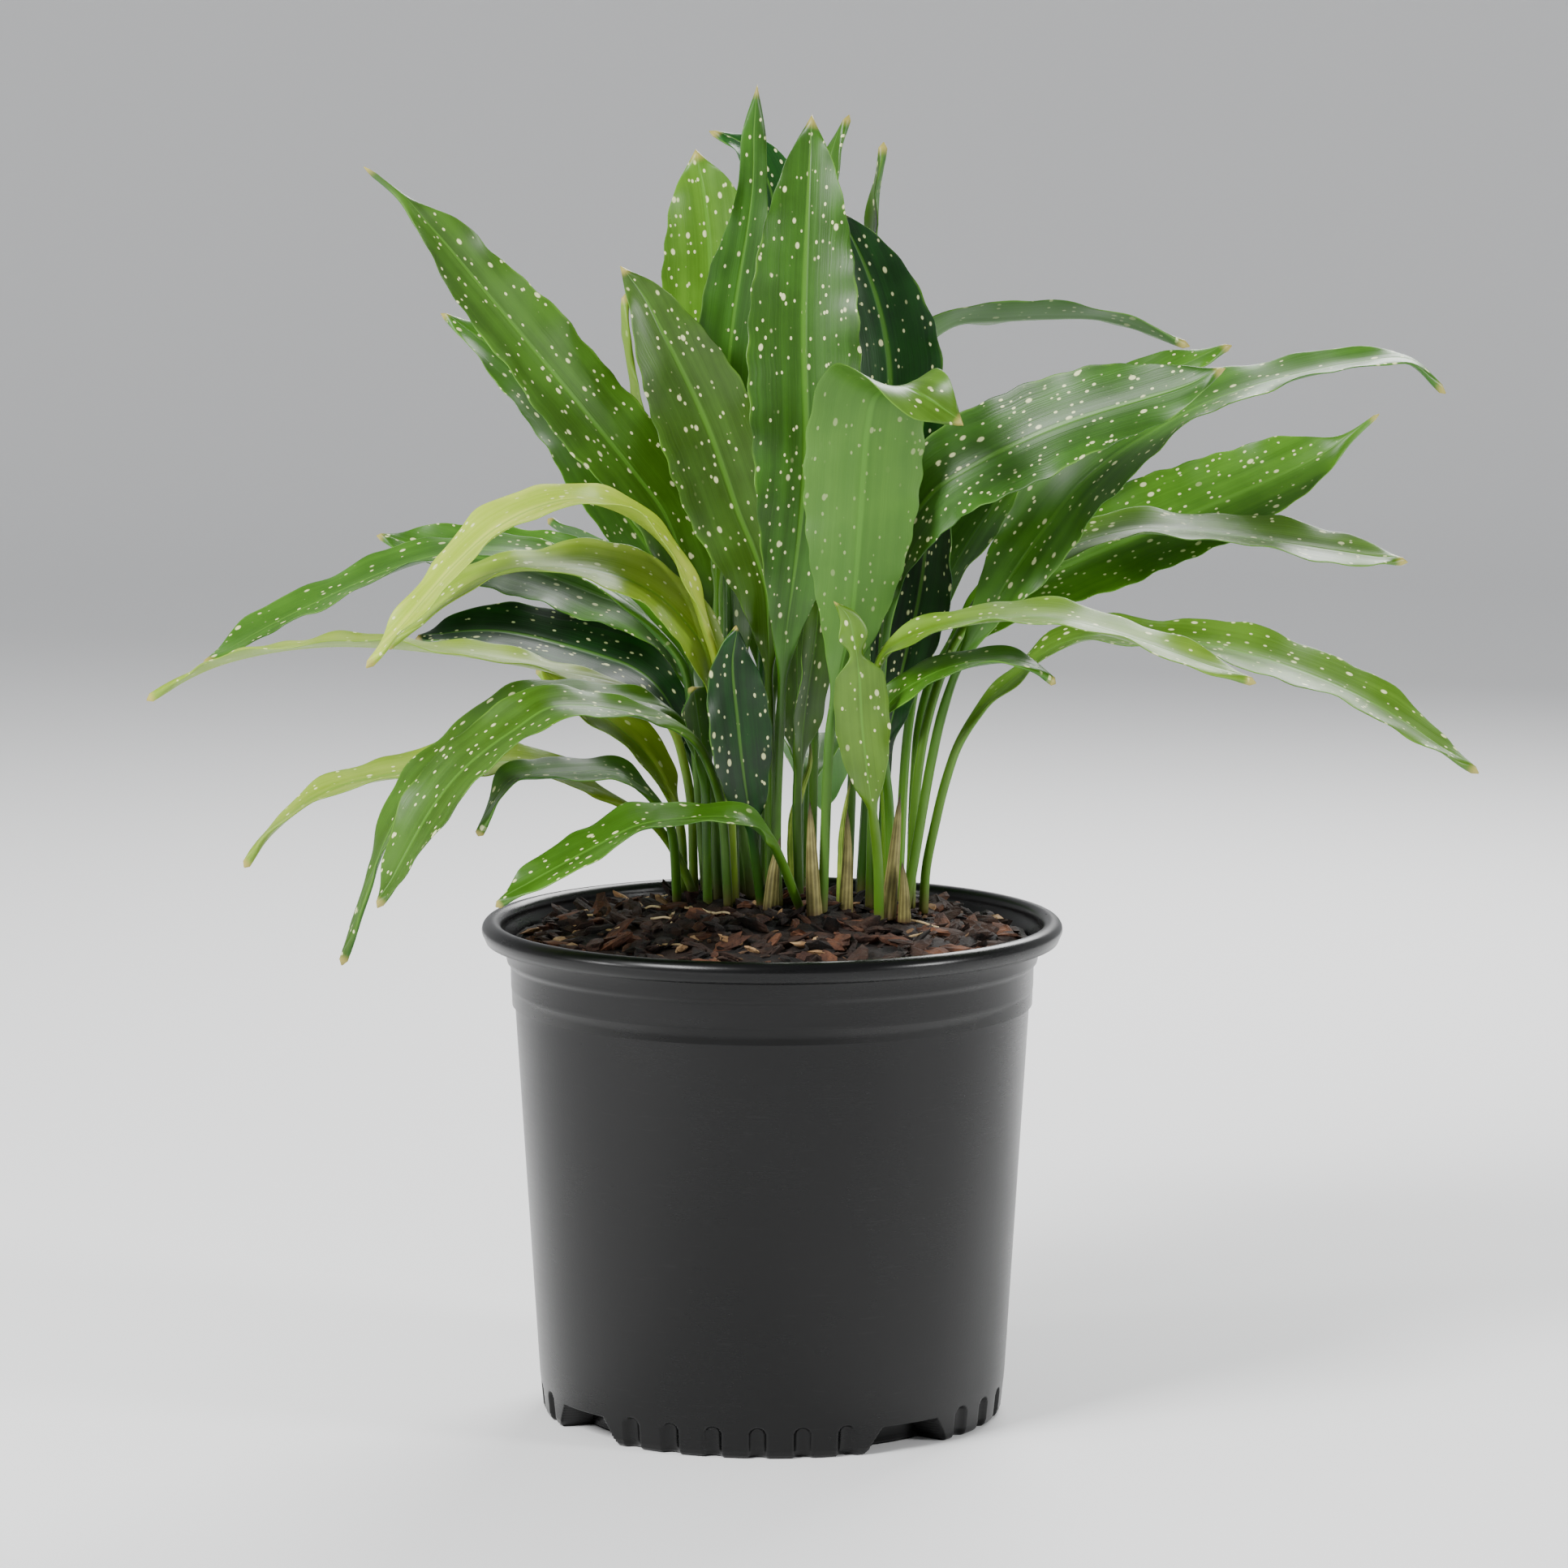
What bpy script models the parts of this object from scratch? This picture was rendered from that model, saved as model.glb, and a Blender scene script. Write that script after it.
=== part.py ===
"""Potted cast iron plant: a nursery pot, its potting mix, and leaves that rise singly from the mix.

The origin is on the pot's axis at its base, +Z is up and -Y is the front. Lengths in the tables are
millimetres, and MM turns them into metres.
"""

import math

import bpy
import numpy as np

MM = 0.001
RIM_RADIUS = 140.0
POT_HEIGHT = 241.0
WALL = 2.2
BASE_RADIUS = 111.0
BODY_TOP_RADIUS = 124.3
POT_SIDES = 64
FOOT_CENTRES = (-9, 81, 171, 261)
FLUTES_PER_FOOT = 6
FLUTE_STEP = 11.0
FLUTE_WIDTH = 8.0
FLUTE_HEIGHT = 15.0
FLUTE_DEPTH = 1.4
POCKET_ANGLES = (-54, 36, 126, 216)
POCKET_HALF_ANGLE = 10.0
POCKET_HEIGHT = 13.0
POCKET_DEPTH = 16.0
MIX_RADIUS = 124.5
MIX_EDGE_Z = 231.0
MIX_HEAP = 17.0
MIX_BOTTOM_Z = 4.0
STALK_HALF = 2.4
BLADE_THICK = 1.6
STATIONS = 17
SEAT_GAP = 0.5
FOLD = 0.22


def clear_scene():
    for item in list(bpy.data.objects):
        bpy.data.objects.remove(item, do_unlink=True)


def material(name, colour, roughness, metallic=0.0):
    made = bpy.data.materials.new(name)
    made.use_nodes = True
    shader = made.node_tree.nodes["Principled BSDF"]
    shader.inputs["Base Color"].default_value = (*colour, 1.0)
    shader.inputs["Roughness"].default_value = roughness
    shader.inputs["Metallic"].default_value = metallic
    return made


def mesh_object(name, vertices, faces, look):
    """An object made of vertices in millimetres."""
    mesh = bpy.data.meshes.new(name)
    mesh.from_pydata([tuple(float(c) * MM for c in v) for v in vertices], [], faces)
    mesh.update()
    made = bpy.data.objects.new(name, mesh)
    made.data.materials.append(look)
    bpy.context.scene.collection.objects.link(made)
    return made


def turned(name, profile, look, sides=POT_SIDES):
    """A closed solid turned about Z from (radius, z) points whose two ends lie on the axis."""
    vertices = [(0.0, 0.0, profile[0][1])]
    for radius, z in profile[1:-1]:
        for i in range(sides):
            turn = 2 * math.pi * i / sides
            vertices.append((radius * math.cos(turn), radius * math.sin(turn), z))
    vertices.append((0.0, 0.0, profile[-1][1]))
    rings = len(profile) - 2
    faces = []
    for i in range(sides):
        j = (i + 1) % sides
        faces.append((0, 1 + j, 1 + i))
        for k in range(rings - 1):
            low = 1 + k * sides
            high = low + sides
            faces.append((low + i, low + j, high + j, high + i))
        last = 1 + (rings - 1) * sides
        faces.append((last + i, last + j, len(vertices) - 1))
    made = mesh_object(name, vertices, faces, look)
    for polygon in made.data.polygons:
        polygon.use_smooth = True
    return made


def mix_height(x, y):
    """The height of the heaped potting mix, a low dome."""
    return MIX_EDGE_Z + MIX_HEAP * (1 - (x * x + y * y) / MIX_RADIUS**2)


def pot_profile():
    """The pot's section, from the outside of its floor round the rim to the inside of its floor."""
    outside = [(0, 0), (BASE_RADIUS - 2, 0), (BASE_RADIUS, 2), (113, 20), (BODY_TOP_RADIUS, 203)]
    band = [(126, 207), (126, 220), (128, 221), (128, 230), (139, 231)]
    bead = [(RIM_RADIUS, 236), (138.5, 239.5), (135.5, POT_HEIGHT), (132.5, 239.5), (131, 236)]
    inside = [(126.2, 230), (125.2, 222), (125.2, 208), (BODY_TOP_RADIUS - WALL, 202)]
    floor = [(113 - WALL, 22), (92, 16.5), (88, 3.5), (0, 3.5)]
    return outside + band + bead + inside + floor


def flute_cutter(turn):
    """An arch-topped bar that cuts one shallow flute into a foot."""
    half = FLUTE_WIDTH / 2
    outline = [(-half, 1.5), (half, 1.5), (half, FLUTE_HEIGHT - half)]
    for step in range(1, 6):
        angle = math.pi * step / 6
        outline.append((half * math.cos(angle), FLUTE_HEIGHT - half + half * math.sin(angle)))
    outline.append((-half, FLUTE_HEIGHT - half))
    return outline, math.radians(turn)


def add_pockets(vertices, faces):
    """Four wedges with sloping ends that leave a drainage gap under the pot's edge."""
    for centre in POCKET_ANGLES:
        start = len(vertices)
        for radius in (122.0, 112.0 - POCKET_DEPTH):
            for spread, z in ((1.25, -1.0), (0.8, POCKET_HEIGHT)):
                for sign in (-1, 1):
                    angle = math.radians(centre + sign * spread * POCKET_HALF_ANGLE)
                    vertices.append((radius * math.sin(angle), -radius * math.cos(angle), z))
        for quad in ((0, 1, 3, 2), (5, 4, 6, 7), (4, 0, 2, 6), (1, 5, 7, 3), (2, 3, 7, 6), (4, 5, 1, 0)):
            faces.append(tuple(start + k for k in quad))


def cut_base(pot, look):
    """Cuts the flutes and the drainage pockets with one hidden cutter."""
    vertices = []
    faces = []
    add_pockets(vertices, faces)
    for centre in FOOT_CENTRES:
        for i in range(FLUTES_PER_FOOT):
            turn = centre + (i - (FLUTES_PER_FOOT - 1) / 2) * FLUTE_STEP
            outline, angle = flute_cutter(turn)
            start = len(vertices)
            count = len(outline)
            for depth in (6.0, -FLUTE_DEPTH):
                for across, z in outline:
                    radius = 112.0 + depth + 0.1 * (z - 10.0)
                    out = (math.sin(angle), -math.cos(angle))
                    side = (math.cos(angle), math.sin(angle))
                    vertices.append((radius * out[0] + across * side[0],
                                     radius * out[1] + across * side[1], z))
            faces.append(tuple(start + k for k in range(count)))
            faces.append(tuple(start + count + k for k in reversed(range(count))))
            for k in range(count):
                n = (k + 1) % count
                faces.append((start + k, start + count + k, start + count + n, start + n))
    cutter = mesh_object("base_cutter", vertices, faces, look)
    cutter.hide_render = True
    cutter.display_type = "WIRE"
    boolean = pot.modifiers.new("base cuts", "BOOLEAN")
    boolean.operation = "DIFFERENCE"
    boolean.solver = "EXACT"
    boolean.object = cutter


def spline(points, count):
    """Evenly spaced points along a Catmull-Rom curve through the given points."""
    known = np.array(points, float)
    padded = np.vstack([2 * known[0] - known[1], known, 2 * known[-1] - known[-2]])
    fine = []
    for i in range(len(known) - 1):
        a, b, c, d = padded[i:i + 4]
        t = np.linspace(0, 1, 24, endpoint=False)[:, None]
        fine.append(0.5 * (2 * b + (c - a) * t + (2 * a - 5 * b + 4 * c - d) * t**2
                           + (3 * b - a - 3 * c + d) * t**3))
    fine = np.vstack(fine + [known[-1:]])
    length = np.concatenate([[0], np.cumsum(np.linalg.norm(np.diff(fine, axis=0), axis=1))])
    at = np.linspace(0, length[-1], count)
    return np.stack([np.interp(at, length, fine[:, k]) for k in range(3)], 1)


def half_width(s, plan):
    """The blade's half width at fractions s of the leaf's length."""
    blade = np.clip((s - plan["start"]) / (1 - plan["start"]), 0, 1)
    peak = plan["peak"]
    rise = (np.maximum(blade, 1e-9) / peak) ** (1.9 * peak)
    fall = (np.maximum(1 - blade, 0) / (1 - peak)) ** (1.75 * (1 - peak))
    width = plan["half"] * rise * (1 if plan["torn"] else fall)
    if plan["pinch"]:
        width = width * (1 - 0.7 * np.exp(-(((s - plan["pinch"]) / 0.03) ** 2)))
    return width


def frames(centre, plan, s):
    """The direction across the blade and the way its upper face looks, at each station."""
    along = np.gradient(centre, axis=0)
    along /= np.linalg.norm(along, axis=1)[:, None]
    guide = np.array((1.0, 0, 0) if plan["across"] else (0, 1.0, 0))
    first = np.cross(along, guide)
    first /= np.linalg.norm(first, axis=1)[:, None]
    second = np.cross(along, first)
    turn = np.radians(np.interp(s, [t[0] for t in plan["turn"]], [t[1] for t in plan["turn"]]))
    turn = turn[:, None]
    return (np.cos(turn) * first + np.sin(turn) * second,
            np.cos(turn) * second - np.sin(turn) * first)


def closed_rings(rings, tip):
    """A closed skin round the rings, with a point at the tip.

    Each quad is split from its even corner, so that both faces of a twisted blade bend alike and never cross.
    """
    vertices = [tuple(p) for ring in rings for p in ring]
    n = len(rings[0])
    faces = [tuple(range(n))]
    for k in range(len(rings) - 1):
        for i in range(n):
            j = (i + 1) % n
            low_i, low_j, high_i, high_j = k * n + i, k * n + j, (k + 1) * n + i, (k + 1) * n + j
            if i % 2 == 0:
                faces += [(low_j, low_i, high_j), (low_i, high_i, high_j)]
            else:
                faces += [(low_j, low_i, high_i), (low_j, high_i, high_j)]
    last = (len(rings) - 1) * n
    vertices.append(tuple(tip))
    for i in range(n):
        faces.append((last + (i + 1) % n, last + i, len(vertices) - 1))
    return vertices, faces


def leaf_object(plan, look):
    """One leaf: rings of four corners, left edge, lower midrib, right edge, upper midrib."""
    s = np.linspace(0, 1, STATIONS + 1)
    points = list(plan["points"])
    foot = points[0]
    points[0] = (foot[0], foot[1], mix_height(foot[0], foot[1]) + SEAT_GAP)
    centre = spline(points, STATIONS + 1)
    across, up = frames(centre, plan, s)
    blade = half_width(s, plan)
    half = np.maximum(blade, STALK_HALF * np.minimum(1, 4.0 * (1 - s)))
    wide = np.clip((blade - STALK_HALF) / (2 * STALK_HALF), 0, 1)
    thick = STALK_HALF + (BLADE_THICK / 2 - STALK_HALF) * wide
    rings = []
    for i in range(STATIONS):
        lift = FOLD * wide[i] * half[i] * up[i]
        rings.append([centre[i] + across[i] * half[i] + lift, centre[i] - up[i] * thick[i],
                      centre[i] - across[i] * half[i] + lift, centre[i] + up[i] * thick[i]])
    for corner in rings[0]:
        corner[2] = centre[0][2]
    vertices, faces = closed_rings(rings, centre[-1])
    return mesh_object(plan["name"], vertices, faces, look)


def rolled_object(name, radius, points, look):
    """A young rolled leaf or a sheath: a tapering round spike."""
    points = list(points)
    foot = points[0]
    points[0] = (foot[0], foot[1], mix_height(foot[0], foot[1]) + SEAT_GAP)
    centre = spline(points, 7)
    rings = []
    for i in range(6):
        size = radius * (1 - (i / 6.4) ** 2)
        rings.append([centre[i] + size * np.array((math.cos(a), math.sin(a), 0))
                      for a in [-2 * math.pi * k / 6 for k in range(6)]])
    vertices, faces = closed_rings(rings, centre[-1])
    made = mesh_object(name, vertices, faces, look)
    for polygon in made.data.polygons:
        polygon.use_smooth = True
    return made


def leaf(name, start, half, peak, turn, points, pinch=0, across=False, torn=False):
    """A leaf's plan. turn lists (fraction of the length, degrees): 0 shows the upper face to the front."""
    return {"name": name, "start": start, "half": half, "peak": peak, "turn": turn,
            "points": points, "pinch": pinch, "across": across, "torn": torn}


LEAVES = [
    leaf("leaf_centre_tall", start=0.3, half=27, peak=0.52, turn=[(0, 0), (1, 0)],
         points=[
        (3, -12, 248), (2, -15, 291), (6, -25, 374), (12, -28, 421), (16, -27, 471),
        (15, -18, 528), (17, -6, 585), (19, 4, 626)]),
    leaf("leaf_front_folded_tip", start=0.34, half=28, peak=0.55, turn=[(0, -90), (1, -90)], across=True,
         points=[
        (24, -30, 247), (28, -41, 341), (38, -50, 396), (45, -54, 484), (52, -64, 499),
        (64, -76, 501), (77, -82, 494), (89, -84, 485)]),
    leaf("leaf_centre_left", start=0.36, half=25, peak=0.48, turn=[(0, 0), (1, 12)],
         points=[
        (-1, -8, 248), (-2, -4, 379), (-6, -2, 410), (-18, 0, 441), (-26, 0, 465), (-39, 0, 496),
        (-64, -8, 546), (-72, -10, 555)]),
    leaf("leaf_spear", start=0.42, half=16, peak=0.45, turn=[(0, 0), (1, 0)], pinch=0.855,
         points=[
        (-18, 12, 248), (-20, 16, 330), (-21, 20, 408), (-22, 20, 479), (-19, 18, 525),
        (-10, 12, 584), (-9, 12, 611), (-7, 12, 640)]),
    leaf("leaf_behind_spear", start=0.4, half=24, peak=0.62, turn=[(0, -20), (1, 5)],
         points=[
        (-24, 24, 247), (-26, 32, 348), (-28, 38, 446), (-30, 42, 512), (-30, 45, 555),
        (-33, 48, 586), (-35, 50, 600), (-37, 52, 608)]),
    leaf("leaf_back_curled_tip", start=0.4, half=22, peak=0.5, turn=[(0, 30), (0.7, 35), (1, 40)],
         points=[
        (-9, 40, 247), (-5, 50, 365), (1, 62, 483), (1, 75, 550), (-1, 85, 585), (-9, 92, 603),
        (-19, 98, 612), (-31, 102, 615)]),
    leaf("leaf_back_narrow", start=0.42, half=17, peak=0.5, turn=[(0, -50), (1, -60)],
         points=[
        (19, 30, 247), (21, 32, 367), (24, 33, 485), (26, 34, 563), (28, 34, 597), (31, 34, 612),
        (37, 35, 625)]),
    leaf("leaf_back_right_broad", start=0.38, half=26, peak=0.52, turn=[(0, -10), (1, 10)],
         points=[
        (43, 20, 246), (48, 22, 329), (52, 25, 408), (56, 28, 462), (56, 30, 509), (48, 33, 544),
        (38, 35, 567), (31, 36, 580)]),
    leaf("leaf_back_edge_on", start=0.42, half=18, peak=0.5, turn=[(0, -80), (1, -84)],
         points=[
        (37, 45, 245), (41, 50, 365), (45, 55, 484), (49, 58, 543), (51, 60, 586), (54, 62, 611)]),
    leaf("leaf_pale_edge_on", start=0.42, half=16, peak=0.5, turn=[(0, 100), (1, 102)], pinch=0.88,
         points=[
        (-28, 46, 245), (-40, 60, 344), (-54, 66, 423), (-66, 66, 471), (-69, 63, 505),
        (-72, 62, 523), (-71, 62, 538)]),
    leaf("leaf_left_high", start=0.3, half=24, peak=0.45, turn=[(0, 20), (0.4, 38), (1, 42)], pinch=0.935,
         points=[
        (-10, 5, 248), (-18, 5, 311), (-30, 5, 370), (-45, 4, 418), (-63, 1, 451),
        (-156, -10, 566), (-175, -12, 587), (-193, -14, 602)]),
    leaf("leaf_left_high_behind", start=0.36, half=22, peak=0.5, turn=[(0, 30), (0.5, 40), (1, 45)],
         points=[
        (-20, 18, 248), (-28, 24, 329), (-40, 32, 381), (-73, 44, 433), (-91, 55, 460),
        (-115, 65, 491), (-139, 74, 512), (-162, 80, 527)]),
    leaf("leaf_left_broad", start=0.34, half=25, peak=0.5, turn=[(0, 30), (0.5, 48), (1, 55)],
         points=[
        (-26, 31, 247), (-32, 35, 316), (-44, 41, 358), (-60, 46, 380), (-80, 56, 389),
        (-120, 72, 402), (-168, 84, 411), (-195, 90, 417)]),
    leaf("leaf_left_long", start=0.32, half=20, peak=0.55, turn=[(0, 60), (0.5, 79), (0.75, 78), (0.85, 68), (1, 70)],
         points=[
        (-32, 15, 247), (-40, 22, 345), (-52, 26, 372), (-91, 34, 403), (-134, 40, 414),
        (-178, 43, 407), (-238, 46, 380), (-275, 16, 361)]),
    leaf("leaf_left_twisted", start=0.3, half=17, peak=0.45, turn=[(0, 60), (0.4, 75), (0.6, 90), (0.8, 92), (1, 104)],
         points=[
        (-38, 27, 246), (-41, 22, 305), (-59, 12, 344), (-117, 0, 363), (-187, -6, 373),
        (-233, -9, 372), (-275, 17, 359), (-303, 27, 343)]),
    leaf("leaf_left_yellow_arch", start=0.34, half=21, peak=0.5, turn=[(0, 50), (0.4, 74), (0.6, 89), (0.72, 72), (1, 66)],
         points=[
        (-18, -5, 248), (-24, -20, 354), (-41, -32, 407), (-50, -40, 424), (-65, -50, 438),
        (-91, -62, 448), (-133, -76, 432), (-189, -88, 372)]),
    leaf("leaf_left_yellow_green", start=0.3, half=22, peak=0.45, turn=[(0, 40), (0.5, 56), (0.72, 80), (1, 74)],
         points=[
        (-20, 0, 248), (-28, -14, 353), (-37, -20, 379), (-51, -26, 396), (-66, -32, 406),
        (-89, -39, 413), (-134, -52, 411), (-182, -62, 378)]),
    leaf("leaf_left_dark", start=0.3, half=23, peak=0.5, turn=[(0, 50), (0.5, 56), (1, 62)],
         points=[
        (-32, 39, 246), (-35, 40, 295), (-44, 43, 326), (-56, 47, 346), (-72, 53, 357),
        (-120, 62, 370), (-148, 66, 372), (-175, 70, 368)]),
    leaf("leaf_left_low_long", start=0.26, half=19, peak=0.42, turn=[(0, 60), (0.4, 71), (0.7, 77), (1, 84)],
         points=[
        (-37, 18, 247), (-48, 16, 272), (-63, 5, 290), (-105, -13, 313), (-129, -17, 318),
        (-201, -34, 310), (-236, -38, 290), (-251, -40, 271)]),
    leaf("leaf_left_drooping", start=0.28, half=19, peak=0.45, turn=[(0, 50), (0.4, 74), (1, 72)], pinch=0.9,
         points=[
        (-26, 4, 248), (-29, 1, 300), (-39, -9, 327), (-55, -24, 346), (-104, -51, 353),
        (-142, -66, 336), (-176, -77, 299), (-202, -84, 231)]),
    leaf("leaf_front_left_drooping", start=0.28, half=21, peak=0.6, turn=[(0, 50), (0.4, 77), (0.7, 62), (1, 55)],
         points=[
        (-21, -14, 248), (-24, -19, 295), (-31, -30, 320), (-47, -45, 340), (-95, -81, 353),
        (-118, -92, 344), (-151, -106, 317), (-183, -115, 263)]),
    leaf("leaf_left_low_small", start=0.3, half=14, peak=0.5, turn=[(0, 50), (0.5, 74), (1, 74)],
         points=[
        (-46, 13, 246), (-48, 3, 280), (-54, -4, 295), (-65, -12, 307), (-78, -21, 314),
        (-116, -46, 315), (-127, -51, 310), (-139, -54, 288)]),
    leaf("leaf_front_low", start=0.2, half=19, peak=0.5, turn=[(0, 50), (0.3, 70), (0.5, 86), (0.75, 67), (1, 62)],
         points=[
        (14, -26, 248), (1, -52, 283), (-10, -66, 295), (-23, -78, 300), (-57, -98, 300),
        (-76, -106, 293), (-113, -116, 274), (-128, -118, 264)]),
    leaf("leaf_left_low_behind", start=0.3, half=18, peak=0.52, turn=[(0, 50), (0.5, 66), (1, 66)],
         points=[
        (-43, 35, 245), (-45, 36, 281), (-54, 38, 304), (-68, 40, 321), (-84, 42, 334),
        (-99, 44, 345), (-115, 46, 356)]),
    leaf("leaf_back_left_pale", start=0.34, half=20, peak=0.5, turn=[(0, 110), (1, 115)],
         points=[
        (-19, 52, 245), (-29, 73, 323), (-49, 94, 369), (-71, 109, 393), (-92, 120, 408),
        (-112, 128, 422)]),
    leaf("leaf_right_high_broad", start=0.38, half=25, peak=0.52, turn=[(0, -15), (0.5, -30), (1, -34)],
         points=[
        (47, -8, 246), (49, -13, 314), (57, -26, 413), (67, -30, 436), (84, -34, 455),
        (133, -46, 481), (190, -58, 500), (212, -62, 510)]),
    leaf("leaf_right_bright_behind", start=0.36, half=23, peak=0.5, turn=[(0, -30), (0.5, -55), (1, -60)],
         points=[
        (61, 28, 244), (66, 38, 327), (78, 48, 381), (96, 55, 417), (118, 60, 446),
        (150, 64, 473), (189, 68, 497), (224, 70, 512)]),
    leaf("leaf_right_dark", start=0.34, half=21, peak=0.5, turn=[(0, -30), (1, -45)],
         points=[
        (52, 5, 245), (55, 6, 311), (61, 6, 351), (70, 6, 390), (74, 6, 417), (77, 6, 449),
        (78, 6, 472)]),
    leaf("leaf_back_right_arching", start=0.4, half=19, peak=0.5, turn=[(0, -95), (0.5, -107), (1, -107)],
         points=[
        (46, 49, 244), (57, 80, 434), (65, 92, 489), (79, 100, 515), (99, 106, 521),
        (148, 116, 523), (172, 120, 520), (207, 125, 508)]),
    leaf("leaf_right_long_folded", start=0.32, half=26, peak=0.42, turn=[(0, -10), (0.45, -32), (0.68, -74), (1, -76)],
         points=[
        (64, -4, 244), (82, -4, 342), (105, -4, 391), (143, -4, 445), (166, -4, 465),
        (220, -4, 494), (297, -4, 510), (321, -4, 494)]),
    leaf("leaf_right_bright_broad", start=0.32, half=26, peak=0.5, turn=[(0, -20), (0.5, -33), (1, -38)], pinch=0.93,
         points=[
        (67, 15, 243), (69, 22, 305), (74, 30, 344), (88, 38, 367), (112, 46, 389),
        (138, 52, 403), (257, 66, 453), (296, 66, 479)]),
    leaf("leaf_right_middle", start=0.34, half=21, peak=0.6, turn=[(0, -40), (0.6, -74), (0.75, -79), (0.87, -66), (1, -62)],
         points=[
        (66, 8, 244), (70, 10, 307), (78, 14, 346), (91, 18, 377), (113, 22, 402),
        (152, 27, 420), (195, 27, 425), (307, 28, 410)]),
    leaf("leaf_front_right_arching", start=0.36, half=19, peak=0.5, turn=[(0, -40), (0.5, -80), (0.75, -80), (0.9, -70), (1, -66)],
         points=[
        (55, -10, 245), (54, -18, 303), (50, -29, 343), (51, -43, 370), (76, -62, 387),
        (117, -77, 394), (155, -86, 389), (225, -98, 366)]),
    leaf("leaf_right_low_drooping", start=0.22, half=21, peak=0.55, turn=[(0, -45), (0.3, -72), (0.5, -78), (0.65, -68), (0.8, -64), (1, -64)],
         points=[
        (73, 2, 243), (76, 0, 275), (93, -8, 333), (131, -20, 371), (154, -26, 380),
        (219, -40, 374), (279, -52, 353), (333, -62, 319)]),
    leaf("leaf_front_right_small", start=0.42, half=13, peak=0.5, turn=[(0, -40), (0.6, -68), (1, -80)],
         points=[
        (57, -18, 245), (56, -25, 296), (53, -36, 328), (56, -46, 350), (82, -60, 368),
        (110, -69, 373), (123, -72, 370), (133, -74, 363)]),
    leaf("leaf_front_centre", start=0.34, half=13, peak=0.45, turn=[(0, 0), (1, 10)], pinch=0.83,
         points=[
        (51, -34, 244), (50, -40, 278), (44, -54, 327), (42, -59, 347), (41, -62, 365),
        (39, -64, 379), (36, -65, 393), (29, -66, 401)]),
    leaf("leaf_front_dark", start=0.26, half=16, peak=0.5, turn=[(0, 20), (1, 20)],
         points=[
        (-5, -15, 248), (-10, -24, 288), (-14, -30, 316), (-17, -32, 344), (-19, -33, 367),
        (-17, -33, 386)]),
    leaf("leaf_inner_left", start=0.32, half=19, peak=0.5, turn=[(0, 45), (1, 50)],
         points=[
        (-14, 30, 247), (-20, 45, 306), (-25, 60, 344), (-25, 75, 387), (-27, 85, 426),
        (-29, 90, 457)]),
    leaf("leaf_centre_wavy", start=0.34, half=15, peak=0.5, turn=[(0, 55), (1, 58)],
         points=[
        (13, 0, 248), (12, -2, 301), (15, -5, 340), (20, -8, 376), (22, -10, 403),
        (21, -12, 427)]),
    leaf("leaf_inner_back", start=0.34, half=15, peak=0.5, turn=[(0, -62), (1, -62)],
         points=[
        (13, 58, 245), (13, 68, 303), (13, 77, 342), (13, 86, 377), (15, 98, 408)]),
    leaf("leaf_torn", start=0.34, half=14, peak=0.8, turn=[(0, 50), (1, 56)], torn=True,
         points=[
        (-31, -4, 247), (-32, -10, 310), (-35, -13, 333), (-38, -17, 355)]),
    leaf("leaf_back_arching", start=0.34, half=25, peak=0.5, turn=[(0, 90), (1, 90)], across=True,
         points=[
        (-5, 50, 246), (-1, 82, 321), (3, 119, 374), (7, 156, 399), (11, 200, 394),
        (16, 240, 365)]),
    leaf("leaf_back_arching_left", start=0.34, half=24, peak=0.5, turn=[(0, 90), (1, 80)], across=True,
         points=[
        (-19, 58, 244), (-25, 87, 321), (-33, 126, 365), (-42, 166, 394), (-51, 205, 398),
        (-60, 240, 378)]),
    leaf("leaf_back_arching_right", start=0.34, half=24, peak=0.5, turn=[(0, 90), (1, 100)], across=True,
         points=[
        (43, 56, 243), (49, 85, 321), (58, 125, 365), (69, 160, 394), (80, 195, 399),
        (89, 230, 379)]),
    leaf("leaf_back_low", start=0.3, half=22, peak=0.5, turn=[(0, 90), (1, 90)], across=True,
         points=[
        (15, 64, 244), (17, 87, 280), (20, 125, 304), (22, 165, 309), (24, 200, 294),
        (26, 230, 261)]),
]

SPIKES = [
    ("young_leaf_centre", 3, [
        (11, 18, 248), (10, 16, 282), (15, 14, 304), (19, 12, 318), (18, 12, 328)]),
    ("young_leaf_thin", 2.2, [
        (33, -2, 247), (34, -4, 285), (38, -6, 310)]),
    ("young_leaf_bright", 2.2, [
        (54, 10, 245), (55, 12, 299), (54, 12, 318), (53, 12, 334)]),
    ("sheath_right", 3.6, [
        (55, -28, 244), (58, -29, 273), (61, -33, 306)]),
    ("sheath_short", 3, [
        (63, -30, 243), (63, -33, 260), (62, -34, 273)]),
    ("sheath_middle", 3.2, [
        (35, -24, 247), (36, -24, 272), (36, -24, 297)]),
    ("sheath_front", 3.6, [
        (20, -36, 247), (19, -37, 274), (18, -39, 303)]),
    ("sheath_left", 3.6, [
        (-1, -22, 248), (1, -21, 268), (4, -20, 283)]),
]


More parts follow.
